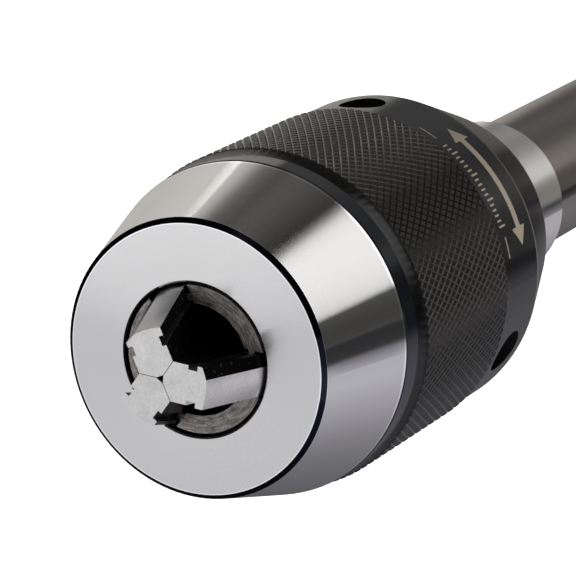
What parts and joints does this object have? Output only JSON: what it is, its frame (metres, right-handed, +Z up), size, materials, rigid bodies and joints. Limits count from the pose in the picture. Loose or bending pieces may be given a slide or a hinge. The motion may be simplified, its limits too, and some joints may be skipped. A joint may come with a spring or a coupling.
{
  "type": "keyless drill chuck",
  "caption": "Keyless self-tightening drill chuck with hardened jaws in a bright nose cone, knurled sleeve and parallel shank.",
  "frame": {"origin": "on the chuck's axis, in the plane of the collar's rear face, where the parallel shank starts", "axes": "+Y along the axis, out along the shank; the jaws point to -Y; +Z is up as the chuck lies level"},
  "size_m": [0.057, 0.1805, 0.057],
  "materials": {
    "ground_steel": "ground, satin",
    "race_steel": "ground, bright",
    "screw_steel": "machined, oiled",
    "hood_steel": "ground round the axis, bright",
    "guide_steel": "sintered grain, dark",
    "spring_steel": "oiled spring steel",
    "gloss_black_steel": "blackened, glossy",
    "black_steel": "blackened, satin",
    "seal_rubber": "matt black",
    "bronze": "sintered bronze",
    "jaw_steel": "hardened and ground",
    "ball_steel": "polished"
  },
  "bodies": {
    "body": {"shank_body": "ground_steel", "front_race": "race_steel"},
    "sleeve": {"nose_cone": "hood_steel", "jaw_guide": "guide_steel", "guide_pins": "race_steel", "guide_circlip": "spring_steel", "front_ring": "gloss_black_steel", "ring_seal": "seal_rubber", "knurled_sleeve": "black_steel", "sleeve_keys": "race_steel", "spanner_ring": "black_steel", "rear_cover": "gloss_black_steel", "rear_race": "race_steel", "rear_bush": "bronze", "rear_seal": "seal_rubber"},
    "screw": {"drive_screw": "screw_steel"},
    "jaw_a": {"jaw_1": "jaw_steel"},
    "jaw_b": {"jaw_2": "jaw_steel"},
    "jaw_c": {"jaw_3": "jaw_steel"},
    "cage": {"ball_cage": "bronze", "bearing_balls": "ball_steel"}
  },
  "joints": [
    {"name": "sleeve_turn", "type": "hinge", "parent": "body", "child": "sleeve", "pos_m": [0, -0.06, 0], "axis": [0, -1, 0], "range_deg": [0, 2640]},
    {"name": "screw_travel", "type": "slide", "parent": "sleeve", "child": "screw", "axis": [0, 1, 0], "range_m": [0, 0.02201]},
    {"name": "jaw_a_slide", "type": "slide", "parent": "sleeve", "child": "jaw_a", "axis": [0.3407, 0.9397, -0.0298], "range_m": [0, 0.02342]},
    {"name": "jaw_b_slide", "type": "slide", "parent": "sleeve", "child": "jaw_b", "axis": [-0.1962, 0.9397, -0.2802], "range_m": [0, 0.02342]},
    {"name": "jaw_c_slide", "type": "slide", "parent": "sleeve", "child": "jaw_c", "axis": [-0.1445, 0.9397, 0.31], "range_m": [0, 0.02342]},
    {"name": "cage_turn", "type": "hinge", "parent": "body", "child": "cage", "pos_m": [0, -0.0432, 0], "axis": [0, -1, 0], "range_deg": [0, 1321]}
  ],
  "couplings": [
    {"joint": "screw_travel", "follows": "sleeve_turn", "m_per_rad": 0.00047746},
    {"joint": "jaw_a_slide", "follows": "sleeve_turn", "m_per_rad": 0.00050811},
    {"joint": "jaw_b_slide", "follows": "sleeve_turn", "m_per_rad": 0.00050811},
    {"joint": "jaw_c_slide", "follows": "sleeve_turn", "m_per_rad": 0.00050811},
    {"joint": "cage_turn", "follows": "sleeve_turn", "ratio": 0.5}
  ]
}
